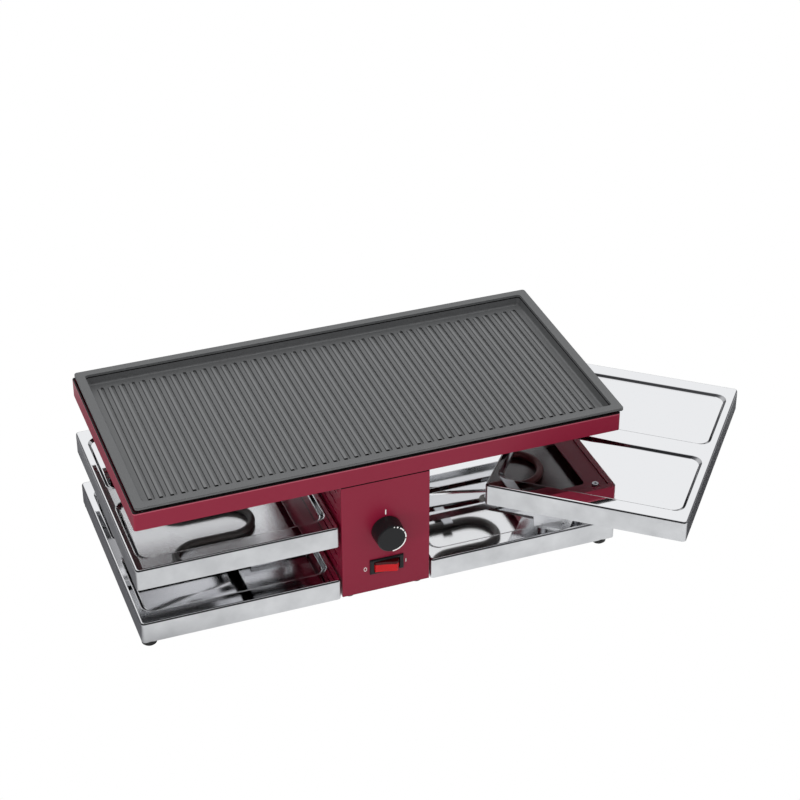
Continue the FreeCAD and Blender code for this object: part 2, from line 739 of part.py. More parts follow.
def rocker_button():
    """Rocker with two faces meeting in a shallow valley and ends round the pivot."""
    tilt = math.radians(ROCKER_VALLEY)
    reach = SWITCH_OPEN_L / 2 - ROCKER_GAP
    stand = ROCKER_PIVOT_IN + ROCKER_STAND
    valley = stand / math.cos(tilt)
    # Corner: where the sloping face meets the circle round the pivot
    slope = math.tan(tilt)
    a = 1 + slope * slope
    b = 2 * valley * slope
    c = valley * valley - reach * reach
    corner_x = (-b + math.sqrt(b * b - 4 * a * c)) / (2 * a)
    corner_y = -(valley + slope * corner_x)
    half_turn = math.atan2(-corner_y, corner_x) / 2
    arc_x = reach * math.cos(half_turn)
    arc_y = -reach * math.sin(half_turn)
    tail = 5.0
    wire = Part.Wire([
        Part.makeLine(V(0, -valley, 0), V(corner_x, corner_y, 0)),
        Part.Arc(V(corner_x, corner_y, 0), V(arc_x, arc_y, 0), V(reach, 0, 0)).toShape(),
        Part.makeLine(V(reach, 0, 0), V(reach - 3, tail, 0)),
        Part.makeLine(V(reach - 3, tail, 0), V(3 - reach, tail, 0)),
        Part.makeLine(V(3 - reach, tail, 0), V(-reach, 0, 0)),
        Part.Arc(V(-reach, 0, 0), V(-arc_x, arc_y, 0), V(-corner_x, corner_y, 0)).toShape(),
        Part.makeLine(V(-corner_x, corner_y, 0), V(0, -valley, 0)),
    ])
    height = SWITCH_OPEN_H - 2 * ROCKER_GAP
    rocker = moved(Part.Face(wire).extrude(V(0, 0, height)), 0, 0, -height / 2)
    pin = cylinder(TRUNNION_R, SWITCH_OPEN_H + ROCKER_GAP, V(0, 0, -(SWITCH_OPEN_H + ROCKER_GAP) / 2))
    rocker = rocker.fuse(pin)
    # Stored switched off: the end with the zero is pressed in
    rocker.rotate(V(0, 0, 0), UP, -ROCKER_TILT)
    return moved(rocker, SWITCH_X, FRONT - BEZEL_T + ROCKER_PIVOT_IN, SWITCH_Z)


def post_points():
    """Posts under the strips at both ends of a tray, in the tray's own frame."""
    y = TRAY_D / 2 - POST_END
    return [(sx * POST_X, sy * y) for sx in (-1, 1) for sy in (-1, 1)]


def tray_shell():
    """Pressed tray in its own frame: rounded rim, thin walls and two recesses."""
    half_l = TRAY_L / 2
    half_d = TRAY_D / 2
    shell = rounded_prism(-half_l, half_l, -half_d, half_d, 0, TRAY_H, TRAY_CORNER)
    shell = shell.makeFillet(TRAY_EDGE, edges_at(shell, TRAY_H))
    cavity = rounded_prism(TRAY_T - half_l, half_l - TRAY_T, TRAY_T - half_d, half_d - TRAY_T,
                           -1, TRAY_H - TRAY_T, TRAY_CORNER - TRAY_T)
    cavity = cavity.makeFillet(TRAY_EDGE - TRAY_T / 2, edges_at(cavity, TRAY_H - TRAY_T))
    recess_l = half_l - RECESS_SIDE
    y = RECESS_RIDGE / 2 + RECESS_W / 2
    over = 1.0
    for sign in (-1, 1):
        spread = RECESS_DRAFT * over / RECESS_DEPTH
        recess = tapered_prism(recess_l + spread, RECESS_W / 2 + spread, RECESS_DRAFT + spread,
                               RECESS_R, TRAY_H - RECESS_DEPTH, TRAY_H + over)
        outside = tapered_prism(recess_l + spread + TRAY_T, RECESS_W / 2 + spread + TRAY_T,
                                RECESS_DRAFT + spread, RECESS_R + TRAY_T,
                                TRAY_H - RECESS_DEPTH - TRAY_T, TRAY_H + over - TRAY_T)
        recess = recess.makeFillet(RECESS_ROOT, edges_at(recess, TRAY_H - RECESS_DEPTH))
        cavity = cavity.cut(moved(outside, 0, sign * y))
        shell = shell.cut(moved(recess, 0, sign * y))
    mouths = []
    for edge in edges_at(shell, TRAY_H):
        bounds = edge.BoundBox
        if max(-bounds.XMin, bounds.XMax) < recess_l + 0.1 and \
                max(-bounds.YMin, bounds.YMax) < half_d - RECESS_END + 0.1:
            mouths.append(edge)
    shell = shell.makeFillet(RECESS_EDGE, mouths)
    return shell.cut(cavity)


def carrier_post_points():
    """Posts of an upper tray's floor, in the frame of the right-hand tray."""
    y = TRAY_D / 2 - POST_END
    far = CARRIER_L - CARRIER_POST_IN - TRAY_L / 2
    return [(x, sy * y) for x in (-POST_X, far) for sy in (-1, 1)]


def tray_posts(points):
    """Posts welded under a tray's ends, tapped for the screws of its floor."""
    top = TRAY_H - TRAY_T
    pieces = []
    for x, y in points:
        post = cylinder(POST_R, top - BASE_T, V(x, y, BASE_T))
        pieces.append(post.cut(cylinder(SCREW_R, SCREW_L, V(x, y, BASE_T))))
    return Part.makeCompound(pieces)


def tray_floor():
    """Floor under the inner part of an upper tray, which carries the bracket."""
    inset = TRAY_T + CLEAR
    near = inset - TRAY_L / 2
    far = CARRIER_L - TRAY_L / 2
    half_d = TRAY_D / 2 - inset
    floor = rounded_prism(near, far, -half_d, half_d, 0, BASE_T, TRAY_CORNER - inset)
    holes = [cylinder(SCREW_R, BASE_T * 2, V(x, y, -1)) for x, y in carrier_post_points()]
    for x, y in bracket_screw_points():
        holes.append(cylinder(SCREW_R, BASE_T * 2, V(x, y, -1)))
    return floor.cut(Part.makeCompound(holes))


def tray_screws():
    length = SCREW_L + BASE_T - 1
    return Part.makeCompound([screw(V(x, y, 0), UP, length) for x, y in carrier_post_points()])


def bracket_screw_points():
    """Screws of the swivel bracket, in the frame of the right-hand tray."""
    near = GUIDE_X * 1.5 - PIN_LOCAL
    far = BRACKET_L - BRACKET_EDGE - PIN_LOCAL
    front = PIN_Y - GUIDE_Y * 0.6
    return [(near, front), (far, front), (far, PIN_Y + GUIDE_Y)]


def tray_bracket():
    """Plate under the tray with an arm that reaches the swivel pin."""
    x0 = -PIN_LOCAL
    arm_front = PIN_Y - BRACKET_ARM
    arm_back = PIN_Y + BRACKET_ARM
    root = x0 + GUIDE_X * 1.2
    shoulder = x0 + GUIDE_X - BRACKET_ARM
    end = x0 + BRACKET_L
    front = PIN_Y - GUIDE_Y * 0.9
    back = PIN_Y + GUIDE_Y + BRACKET_EDGE
    z = -BRACKET_T
    corners = [
        V(x0, arm_front, z), V(root, arm_front, z), V(root + 6, front, z), V(end, front, z),
        V(end, back, z), V(shoulder, back, z), V(shoulder, back - 2 * BRACKET_EDGE, z),
        V(shoulder - 6, arm_back, z), V(x0, arm_back, z),
    ]
    edges = [Part.makeLine(a, b) for a, b in zip(corners, corners[1:])]
    round_end = Part.Arc(corners[-1], V(x0 - BRACKET_ARM, PIN_Y, z), corners[0])
    plate = Part.Face(Part.Wire(edges + [round_end.toShape()])).extrude(V(0, 0, BRACKET_T))
    plate = plate.cut(cylinder(PIN_R + FIT, BRACKET_T * 3, V(x0, PIN_Y, z - 1)))
    plate = plate.cut(cylinder(GUIDE_R, BRACKET_T * 3, V(x0 + GUIDE_X, PIN_Y + GUIDE_Y, z - 1)))
    for x, y in bracket_screw_points():
        plate = plate.cut(cylinder(SCREW_R, BRACKET_T * 3, V(x, y, z - 1)))
    return plate


def bracket_screws(rise=0.0):
    """Screws down through the tray's floor, any spacers and the bracket."""
    length = BASE_T + BRACKET_T - 0.4 + rise
    pieces = []
    for x, y in bracket_screw_points():
        pieces.append(screw(V(x, y, BASE_T + rise), V(0, 0, -1), length))
    return Part.makeCompound(pieces)


def tray_spacers():
    """Sleeves on the bracket's screws that set the right-hand tray higher."""
    pieces = []
    for x, y in bracket_screw_points():
        sleeve = cylinder(SPACER_R, RIGHT_RISE, V(x, y, 0))
        pieces.append(sleeve.cut(cylinder(SCREW_R, RIGHT_RISE * 2, V(x, y, -1))))
    return Part.makeCompound(pieces)


def guide_pin():
    """Pin pressed into the bracket that runs in the rail's curved slot."""
    low = Z_RAIL - RAIL_T - 1.0 - Z_UPPER
    return cylinder(GUIDE_R, -low, V(GUIDE_X - PIN_LOCAL, PIN_Y + GUIDE_Y, low))


def slot_along(x, y, reach, width, z0, z1):
    """A round-ended form along the slide's direction, centred on x, y."""
    ax = reach * SLIDE_X
    ay = reach * SLIDE_Y
    return capsule(x - ax, y - ay, x + ax, y + ay, width, z0, z1)


def glide():
    """Plastic glide in the rail's straight slot, in the tray's own frame."""
    width = 2 * PIN_R + 2.4
    top = Z_RAIL + CLEAR - Z_UPPER
    low = Z_RAIL - RAIL_T - CLEAR - Z_UPPER
    reach = (GLIDE_L - width) / 2
    x0 = -PIN_LOCAL
    body = slot_along(x0, PIN_Y, reach, width, low, top)
    head = slot_along(x0, PIN_Y, reach, width + 5, top, top + GLIDE_TOP)
    foot = slot_along(x0, PIN_Y, reach, width + 5, low - GLIDE_FOOT, low)
    whole = body.fuse(head).fuse(foot).removeSplitter()
    return whole.cut(cylinder(PIN_R, 20, V(x0, PIN_Y, low - 10)))


def swivel_pin():
    """Pin with a flat head below the glide; the bracket turns on its top."""
    low = Z_RAIL - RAIL_T - CLEAR - GLIDE_FOOT - Z_UPPER
    head = cylinder(PIN_R + 2.5, 1.5, V(-PIN_LOCAL, PIN_Y, low - 1.5))
    return head.fuse(cylinder(PIN_R, -CLEAR - low, V(-PIN_LOCAL, PIN_Y, low)))


def guide_path(points=9):
    """Places of the guide pin as the tray is drawn out, for the right side."""
    places = []
    for i in range(points):
        part = i / (points - 1)
        angle = math.radians(SWING * part)
        x = PIN_X + DRAW_X * part + GUIDE_X * math.cos(angle) + GUIDE_Y * math.sin(angle)
        y = PIN_Y - DRAW_Y * part + GUIDE_Y * math.cos(angle) - GUIDE_X * math.sin(angle)
        places.append(V(x, y, 0))
    return places


def curved_slot(width, z0, z1):
    """Slot along the guide pin's path, with round ends."""
    places = guide_path()
    sides = ([], [])
    for i, place in enumerate(places):
        ahead = places[min(i + 1, len(places) - 1)] - places[max(i - 1, 0)]
        across = V(-ahead.y, ahead.x, 0).normalize() * (width / 2)
        sides[0].append(place + across)
        sides[1].append(place - across)
    upper = Part.BSplineCurve()
    upper.interpolate(sides[0])
    lower = Part.BSplineCurve()
    lower.interpolate(sides[1])
    wire = Part.Wire([
        upper.toShape(),
        Part.makeLine(sides[0][-1], sides[1][-1]),
        lower.toShape(),
        Part.makeLine(sides[1][0], sides[0][0]),
    ])
    slot = Part.Face(wire).extrude(V(0, 0, z1 - z0))
    for end in (places[0], places[-1]):
        slot = slot.fuse(cylinder(width / 2, z1 - z0, end))
    return moved(slot, 0, 0, z0)


def tray_rail():
    """Folded channel through the column, with a straight and a curved slot a side."""
    far = guide_path()[-1].x + GUIDE_R + RAIL_END
    low = Z_RAIL - RAIL_FLANGE
    profile = [
        V(-far, -RAIL_FRONT, Z_RAIL), V(-far, RAIL_BACK, Z_RAIL), V(-far, RAIL_BACK, low),
        V(-far, RAIL_BACK - RAIL_T, low), V(-far, RAIL_BACK - RAIL_T, Z_RAIL - RAIL_T),
        V(-far, RAIL_T - RAIL_FRONT, Z_RAIL - RAIL_T), V(-far, RAIL_T - RAIL_FRONT, low),
        V(-far, -RAIL_FRONT, low),
    ]
    rail = polygon_prism(profile, V(2 * far, 0, 0))
    width = 2 * PIN_R + 2.4 + 2 * CLEAR
    reach = SLIDE / 2 + GLIDE_L / 2 + CLEAR - width / 2
    straight = slot_along((PIN_X + PIN_OUT_X) / 2, (PIN_Y + PIN_OUT_Y) / 2, reach, width,
                          Z_RAIL - 6, Z_RAIL + 1)
    curved = curved_slot(2 * (GUIDE_R + CLEAR), Z_RAIL - 6, Z_RAIL + 1)
    for slot in (straight, curved):
        rail = rail.cut(slot).cut(mirrored(slot))
    for x, y in rail_screw_points():
        rail = rail.cut(cylinder(SCREW_R, RAIL_DRILL, V(x, y, Z_RAIL - RAIL_DRILL / 2)))
    return rail


def rail_screw_points():
    x = INSIDE - RAIL_LEG / 2
    y = RAIL_BACK - RAIL_LEG_IN - RAIL_LEG_L / 2
    return [(-x, y), (x, y)]


def rail_angles():
    """Angles inside the column that carry the rail on the side walls."""
    y1 = RAIL_BACK - RAIL_LEG_IN
    y0 = y1 - RAIL_LEG_L
    under = Z_RAIL - RAIL_T
    profile = [
        V(INSIDE, y0, under), V(INSIDE, y0, under - RAIL_LEG_H),
        V(INSIDE - SHEET, y0, under - RAIL_LEG_H), V(INSIDE - SHEET, y0, under - SHEET),
        V(INSIDE - RAIL_LEG, y0, under - SHEET), V(INSIDE - RAIL_LEG, y0, under),
    ]
    angle = polygon_prism(profile, V(0, y1 - y0, 0))
    for x, y in rail_screw_points():
        angle = angle.cut(cylinder(SCREW_R, RAIL_DRILL, V(x, y, under - RAIL_DRILL / 2)))
    return Part.makeCompound([angle, mirrored(angle)])


def rail_screws():
    pieces = []
    for x, y in rail_screw_points():
        pieces.append(screw(V(x, y, Z_RAIL - RAIL_T - SHEET), UP, SHEET + RAIL_T))
    return Part.makeCompound(pieces)


def base_plate():
    """One steel plate under the column and both lower trays."""
    inset = TRAY_T + CLEAR
    half_d = TRAY_D / 2 - inset
    near = LOWER_X - TRAY_L / 2 + inset
    far = LOWER_X + TRAY_L / 2 - inset
    corner = TRAY_CORNER - inset
    plate = box(-SIDE, SIDE, PANEL_BACK, REAR, Z_LOWER, Z_BASE)
    plate = plate.fuse(rounded_prism(near, far, -half_d, half_d, Z_LOWER, Z_BASE, corner))
    plate = plate.fuse(rounded_prism(-far, -near, -half_d, half_d, Z_LOWER, Z_BASE, corner))
    plate = plate.fuse(box(-near - corner, near + corner, -neck_reach(), neck_reach(), Z_LOWER, Z_BASE))
    plate = plate.removeSplitter()
    holes = []
    for x, y in post_points():
        for sign in (-1, 1):
            holes.append(cylinder(SCREW_R, 10, V(sign * LOWER_X + x, y, 0)))
    for x, y in foot_points() + column_foot_points():
        holes.append(cylinder(FOOT_PEG, 10, V(x, y, 0)))
    for x, y in column_screw_points():
        holes.append(cylinder(SCREW_R, 10, V(x, y, 0)))
    return plate.cut(Part.makeCompound(holes))


def neck_reach():
    return TRAY_D / 2 - 4 * FLANGE


def lower_tray(sign):
    """Lower tray with its inner wall cut away round the neck of the base plate."""
    shell = moved(tray_shell(), sign * LOWER_X, 0, Z_LOWER)
    inner = sign * (LOWER_X - TRAY_L / 2)
    reach = neck_reach() + CLEAR
    return shell.cut(box(inner - 2 * TRAY_T, inner + 2 * TRAY_T, -reach, reach,
                         Z_LOWER - 1, Z_BASE + CLEAR))


def foot_points():
    x = LOWER_X + TRAY_L / 2 - FOOT_IN
    y = TRAY_D / 2 - FOOT_FRONT
    return [(sx * x + FOOT_SHIFT, sy * y) for sx in (-1, 1) for sy in (-1, 1)]


def column_foot_points():
    y = TRAY_D / 2 - COLUMN_FOOT_FRONT
    return [(sx * COLUMN_FOOT_X, sy * y) for sx in (-1, 1) for sy in (-1, 1)]


def rubber_foot(radius):
    """Turned foot with a rounded sole and a barbed peg through the base plate."""
    profile = [
        V(0, 0, 0), V(radius - 1.2, 0, 0), V(radius, 0, 1.2), V(radius, 0, Z_LOWER),
        V(FOOT_PEG, 0, Z_LOWER), V(FOOT_PEG, 0, Z_BASE), V(FOOT_PEG + 0.8, 0, Z_BASE),
        V(FOOT_PEG - 0.5, 0, Z_BASE + 2), V(0, 0, Z_BASE + 2),
    ]
    return Part.Face(Part.makePolygon(profile + [profile[0]])).revolve(V(0, 0, 0), UP, 360)


def feet(points, radius):
    return Part.makeCompound([moved(rubber_foot(radius), x, y) for x, y in points])


def base_screws():
    """Screws through the base plate into the tray posts and the column flanges."""
    pieces = []
    for x, y in post_points():
        for sign in (-1, 1):
            at = V(sign * LOWER_X + x, y, Z_LOWER)
            pieces.append(screw(at, UP, SCREW_L + BASE_T - 1))
    for x, y in column_screw_points():
        pieces.append(screw(V(x, y, Z_LOWER), UP, BASE_T + SHEET + 3))
    return Part.makeCompound(pieces)


def cable_gland():
    """Inlet gland in the back sheet, with an open bore for a mains lead."""
    outside = cylinder(GLAND_R + 3, GLAND_OUT * 0.35, V(0, REAR, GLAND_Z), BACK)
    nose = Part.makeCone(GLAND_R, GLAND_R - 2.5, GLAND_OUT * 0.65,
                         V(0, REAR + GLAND_OUT * 0.35, GLAND_Z), BACK)
    stem = cylinder(GLAND_R - CLEAR / 3, GLAND_IN, V(0, REAR - GLAND_IN, GLAND_Z), BACK)
    nut = cylinder(GLAND_R + 3, 4, V(0, REAR - SHEET - 4, GLAND_Z), BACK)
    gland = outside.fuse(nose).fuse(stem).fuse(nut)
    bore = cylinder(GLAND_BORE, GLAND_IN + GLAND_OUT + 2, V(0, REAR - GLAND_IN - 1, GLAND_Z), BACK)
    return gland.cut(bore).removeSplitter()


def block_place():
    """Middle of the terminal block on the base plate."""
    return V(0, REAR - FLANGE - GLAND_IN - BLOCK_W, Z_BASE)


def terminal_block():
    """Three-way terminal block with its clamp holes and end walls."""
    at = block_place()
    block = box(-BLOCK_L / 2, BLOCK_L / 2, -BLOCK_W / 2, BLOCK_W / 2, 0, BLOCK_H)
    pitch = BLOCK_L / 3
    for i in (-1, 0, 1):
        block = block.cut(cylinder(2.4, BLOCK_H, V(i * pitch, -BLOCK_W / 4, BLOCK_H * 0.55)))
        block = block.cut(cylinder(2.4, BLOCK_H, V(i * pitch, BLOCK_W / 4, BLOCK_H * 0.55)))
        block = block.cut(cylinder(WIRE_R, BLOCK_W * 2, V(i * pitch, -BLOCK_W, BLOCK_H * 0.4), BACK))
    return moved(block, at.x, at.y, at.z)


def internal_wiring():
    """Leads from the block to the switch and thermostat, and up to the elements."""
    at = block_place()
    pitch = BLOCK_L / 3
    clamp_z = at.z + BLOCK_H * 0.4
    block_front = at.y - BLOCK_W / 2
    blade_y = FRONT + SWITCH_DEPTH + 7
    bend = 6.0
    leads = []
    for i in (-1, 1):
        x = i * pitch
        leads.append([
            V(x, block_front + 5, clamp_z), V(x, blade_y + 14, clamp_z),
            V(x, blade_y + 14, SWITCH_Z), V(SWITCH_X + i * 8, blade_y + 2, SWITCH_Z),
            V(SWITCH_X + i * 8, blade_y - 2, SWITCH_Z),
        ])
    tab_y = THERMO_BACK
    for i, end in zip((-1, 1), element_ends()):
        x = i * (COLD_END_X - TERMINAL_L + 4)
        top = Z_TUBE
        leads.append([
            V(i * 10, tab_y - 1, KNOB_Z + 8), V(i * 10, tab_y + 14, KNOB_Z + 8),
            V(x, tab_y + 14, top - 16), V(x, 2.0, top - 16), V(x, 2.0, top), V(x, end, top),
        ])
    shapes = []
    for lead in leads:
        shapes.append(tube(bent_path(lead, 3.0), WIRE_R))
    return shapes


def swung(shape):
    """A piece of the right tray, drawn out along the rail and swung forward."""
    return turned_about(slid(shape), PIN_OUT_X, PIN_OUT_Y, -SWING)


def slid(shape):
    """A piece of the right carriage, drawn out along the rail."""
    return moved(shape, UPPER_X + DRAW_X, -DRAW_Y, Z_UPPER)


def closed(shape):
    """A piece of the left tray, pushed in beside the column."""
    return mirrored(moved(shape, UPPER_X, 0, Z_UPPER))


def build():
    element = tube(element_edges(), TUBE_D / 2)
    saddles = element_saddles()
    shell = tray_shell()
    parts = {
        "grill_plate": grill_plate(),
        "heater_housing": heater_housing(),
        "housing_floor": housing_floor(),
        "plate_seats": plate_seats(),
        "heating_element_right": element,
        "heating_element_left": mirrored(element),
        "element_strips": element_strips(),
        "element_saddles": Part.makeCompound(saddles),
        "element_terminals": element_terminals(),
        "housing_screws": housing_screws(),
        "column_side_right": column_side(),
        "column_side_left": mirrored(column_side()),
        "column_back": column_back(),
        "column_front_panel": column_front_panel(),
        "column_screws": panel_screws(),
        "base_plate": base_plate(),
        "base_screws": base_screws(),
        "thermostat_body": thermostat_body(),
        "thermostat_bush": thermostat_bush(),
        "thermostat_shaft": thermostat_shaft(),
        "control_knob": control_knob(),
        "switch_housing": switch_housing(),
        "switch_rocker": rocker_button(),
        "terminal_block": terminal_block(),
        "cable_gland": cable_gland(),
        "internal_wiring": Part.makeCompound(internal_wiring()),
        "lower_tray_left": lower_tray(-1),
        "lower_tray_right": lower_tray(1),
        "lower_tray_posts": Part.makeCompound(
            [moved(tray_posts(post_points()), sign * LOWER_X, 0, Z_LOWER) for sign in (-1, 1)]),
        "tray_feet": feet(foot_points(), FOOT_R),
        "column_feet": feet(column_foot_points(), COLUMN_FOOT_R),
        "tray_rail": tray_rail(),
        "rail_angles": rail_angles(),
        "rail_screws": rail_screws(),
        "glide_left": closed(glide()),
        "glide_right": slid(glide()),
        "swivel_pin_left": closed(swivel_pin()),
        "swivel_pin_right": slid(swivel_pin()),
    }
    tray_pieces = {
        "upper_tray": shell,
        "tray_floor": tray_floor(),
        "tray_posts": tray_posts(carrier_post_points()),
        "tray_screws": tray_screws(),
    }
    for name, shape in tray_pieces.items():
        parts[name + "_left"] = closed(shape)
        parts[name + "_right"] = swung(moved(shape, 0, 0, RIGHT_RISE))
    for name, shape in (("tray_bracket", tray_bracket()), ("guide_pin", guide_pin())):
        parts[name + "_left"] = closed(shape)
        parts[name + "_right"] = swung(shape)
    parts["bracket_screws_left"] = closed(bracket_screws())
    parts["bracket_screws_right"] = swung(bracket_screws(RIGHT_RISE))
    parts["tray_spacers_right"] = swung(tray_spacers())
    return parts


def main():
    os.makedirs("parts", exist_ok=True)
    for name, shape in build().items():
        shape.exportStep("parts/" + name + ".step")
        print(name, "valid" if shape.isValid() else "BAD", len(shape.Solids),
              round(shape.Volume / 1000, 2), "cm3", len(shape.Faces), "faces")


main()
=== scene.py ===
"""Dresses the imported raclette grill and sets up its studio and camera."""
import math

import bmesh
import bpy
from mathutils import Matrix, Vector
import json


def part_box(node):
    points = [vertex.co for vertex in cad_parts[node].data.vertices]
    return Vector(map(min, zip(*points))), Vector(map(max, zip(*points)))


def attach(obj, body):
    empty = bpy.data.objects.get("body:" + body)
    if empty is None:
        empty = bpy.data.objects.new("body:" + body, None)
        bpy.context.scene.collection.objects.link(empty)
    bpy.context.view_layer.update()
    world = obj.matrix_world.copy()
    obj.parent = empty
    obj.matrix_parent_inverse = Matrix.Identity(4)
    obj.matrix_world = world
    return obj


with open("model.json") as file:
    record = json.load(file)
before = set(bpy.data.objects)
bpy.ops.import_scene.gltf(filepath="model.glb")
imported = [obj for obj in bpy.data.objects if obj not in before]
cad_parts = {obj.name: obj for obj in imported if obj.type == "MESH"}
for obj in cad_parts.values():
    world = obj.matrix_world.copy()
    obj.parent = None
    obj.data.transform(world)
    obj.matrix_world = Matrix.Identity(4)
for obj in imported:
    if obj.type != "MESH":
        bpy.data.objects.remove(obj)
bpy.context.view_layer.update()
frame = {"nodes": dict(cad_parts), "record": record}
nodes = frame["nodes"]


# Camera. The grill is seen from its front left, from a good way off and about a third
# of the way up to overhead, so the long lens keeps its edges nearly parallel.
camera_turn = math.radians(-20.15)
camera_height = math.radians(32.6)
camera_roll = math.radians(-0.1)
camera_look = Vector((
    -math.sin(camera_turn) * math.cos(camera_height),
    math.cos(camera_turn) * math.cos(camera_height),
    -math.sin(camera_height),
))
camera_level = Vector((math.cos(camera_turn), math.sin(camera_turn), 0))
camera_upward = camera_level.cross(camera_look)
camera_right = camera_level * math.cos(camera_roll) + camera_upward * math.sin(camera_roll)
camera_up = camera_upward * math.cos(camera_roll) - camera_level * math.sin(camera_roll)
camera_spot = Vector((0, 0, 0.075)) - camera_look * 2.00133
camera_spot += camera_right * 0.05326 + camera_up * 0.05527
bpy.ops.object.camera_add()
camera = bpy.context.object
camera.name = "camera"
camera.data.lens = 94.84
camera.data.sensor_width = 36.0
camera.matrix_world = Matrix.Translation(camera_spot) @ Matrix(
    (camera_right, camera_up, -camera_look)).transposed().to_4x4()
bpy.context.scene.camera = camera


# Grill plate. One aluminium casting, ribbed inside a raised rim, with a dark grey speckled
# non-stick coat on top. Painted shade: dark tones along the ribs' edges and on the groove walls,
# at the grooves' front ends and under the rim. The groove floors are painted lighter, a painted
# highlight. The bare underside is painted dark red-brown at its front right, over the right
# heater, a guess.


class Signal:
    """One output of a node, so that a finish's sums are written as sums."""

    def __init__(self, finish, socket):
        self.finish = finish
        self.socket = socket

    def worked(self, operation, first, second):
        return self.finish.add("Math", {"operation": operation}, {0: first, 1: second})

    def __add__(self, other):
        return self.worked("ADD", self, other)

    def __sub__(self, other):
        return self.worked("SUBTRACT", self, other)

    def __rsub__(self, other):
        return self.worked("SUBTRACT", other, self)

    def __mul__(self, other):
        return self.worked("MULTIPLY", self, other)

    def __lt__(self, other):
        return self.worked("LESS_THAN", self, other)

    def __gt__(self, other):
        return self.worked("GREATER_THAN", self, other)

    def __abs__(self):
        return self.worked("ABSOLUTE", self, 0.0)


class Finish:
    """The nodes of one surface finish."""

    def __init__(self, owner):
        owner.use_nodes = True
        self.owner = owner
        self.tree = owner.node_tree
        self.tree.nodes.clear()

    def add(self, kind, settings, sockets, out=0):
        """Adds a node with its settings, then its sockets' values or links."""
        node = self.tree.nodes.new("ShaderNode" + kind)
        for name, value in settings.items():
            setattr(node, name, value)
        for name, value in sockets.items():
            socket = node.inputs[name]
            if isinstance(value, Signal):
                self.tree.links.new(value.socket, socket)
            elif socket.type == "RGBA":
                socket.default_value = (*value, 1.0)
            else:
                socket.default_value = value
        return Signal(self, node.outputs[out]) if node.outputs else None

    def part_of(self, vector, axis):
        """The x, y or z of a vector."""
        return self.add("SeparateXYZ", {}, {0: vector}, axis)

    def place(self):
        return self.add("TexCoord", {}, {}, "Object")

    def facing(self, axis):
        """How far the surface faces along x, y or z."""
        return self.part_of(self.add("NewGeometry", {}, {}, "Normal"), axis)

    def grain(self, scale, detail=2.0, stretch=(1, 1, 1)):
        """Speckle or clouds, so many to the metre, that may be drawn out one way."""
        place = self.add("Mapping", {}, {"Vector": self.place(), "Scale": stretch})
        return self.add("TexNoise", {}, {"Vector": place, "Scale": scale, "Detail": detail})

    def fade(self, value, low, high, first=0.0, last=1.0):
        """Takes a value from low..high to first..last and holds it at both ends."""
        return self.add("MapRange", {}, {0: value, 1: low, 2: high, 3: first, 4: last})

    def blend(self, mask, under, over):
        """A colour that goes from under to over as the mask goes from 0 to 1."""
        return self.add("Mix", {"data_type": "RGBA"}, {0: mask, 6: under, 7: over}, 2)

    def relief(self, height, depth, strength=1.0):
        return self.add("Bump", {}, {"Height": height, "Distance": depth, "Strength": strength})

    def coat(self, sockets):
        """Gives the finish its main shader and returns the material."""
        surface = self.add("BsdfPrincipled", {}, sockets)
        self.add("OutputMaterial", {}, {"Surface": surface})
        return self.owner


def new_finish(name):
    return Finish(bpy.data.materials.new(name))


def dress(material, *names):
    """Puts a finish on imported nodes."""
    for name in names:
        for slot in nodes[name].material_slots:
            slot.material = material


coat = new_finish("nonstick_coat")
plate_low, plate_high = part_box("grill_plate")
rib_top = plate_high.z - 0.0099
half_pitch = 0.005
grooves_middle = 0.0012
across = coat.part_of(coat.place(), 0)
along = coat.part_of(coat.place(), 1)
height = coat.part_of(coat.place(), 2)
speckle = coat.grain(1500, 3.0)
clouds = coat.grain(22)
bare = height < plate_low.z + 0.0006

from_groove = coat.add("Math", {"operation": "WRAP"}, {
    0: across - grooves_middle, 1: half_pitch, 2: -half_pitch})
ribbed = (abs(across - grooves_middle) < 0.2125) * (abs(along - 0.0008) < 0.0963)
ribbed = ribbed * (abs(height - rib_top + 0.0008) < 0.0014)
in_groove = ribbed * (abs(from_groove) < 0.0016)
rib_edge = ribbed * coat.fade(abs(from_groove + 0.0017), 0.0004, 0.0006, 1.0, 0.0)
groove_end = in_groove * (along < -0.0925)
rim_edge = (abs(height - plate_high.z + 0.0026) < 0.0005) * (abs(coat.facing(2)) < 0.5)
groove_wall = in_groove * (coat.facing(2) < 0.5)
# Painted shade: black is mixed in along the ribs' edges, on the groove walls, at the grooves'
# front ends and under the rim.
painted_shade = rib_edge * 0.72 + groove_wall * 0.3 + groove_end + rim_edge

grey = coat.blend(coat.fade(speckle, 0.3, 0.7), (0.035, 0.0355, 0.036), (0.105, 0.107, 0.109))
grey = coat.blend(coat.fade(clouds, 0.3, 0.7, 0.0, 0.3), grey, (0.060, 0.061, 0.062))
# Painted highlight: the groove floors are painted lighter than the ribs.
grey = coat.blend(in_groove * 0.7, grey, (0.125, 0.127, 0.129))
# The bare underside is painted dark red-brown at its front right, with a ragged edge, a guess.
dark_patch_edge = coat.grain(30, 3.0) * 0.02
dark_patch = coat.fade(across + dark_patch_edge, 0.020, 0.045) * coat.fade(
    along + dark_patch_edge, -0.010, 0.020, 1.0, 0.0)
metal = coat.blend(dark_patch, (0.90, 0.90, 0.90), (0.040, 0.012, 0.013))
coated = coat.add("BsdfPrincipled", {}, {
    "Base Color": coat.blend(bare, grey, metal),
    "Metallic": bare * (1 - dark_patch),
    "Roughness": coat.fade(speckle, 0.3, 0.7, 0.42, 0.52) - bare * 0.34,
    "Specular IOR Level": 1.0,
    "Normal": coat.relief(speckle, 0.00008, 0.8),
})
shade_black = coat.add("BsdfPrincipled", {}, {
    "Base Color": (0.003, 0.003, 0.003),
    "Roughness": 0.9,
    "Specular IOR Level": 0.05,
})
coat.add("OutputMaterial", {}, {
    "Surface": coat.add("MixShader", {}, {0: painted_shade, 1: coated, 2: shade_black}),
})
dress(coat.owner, "grill_plate")
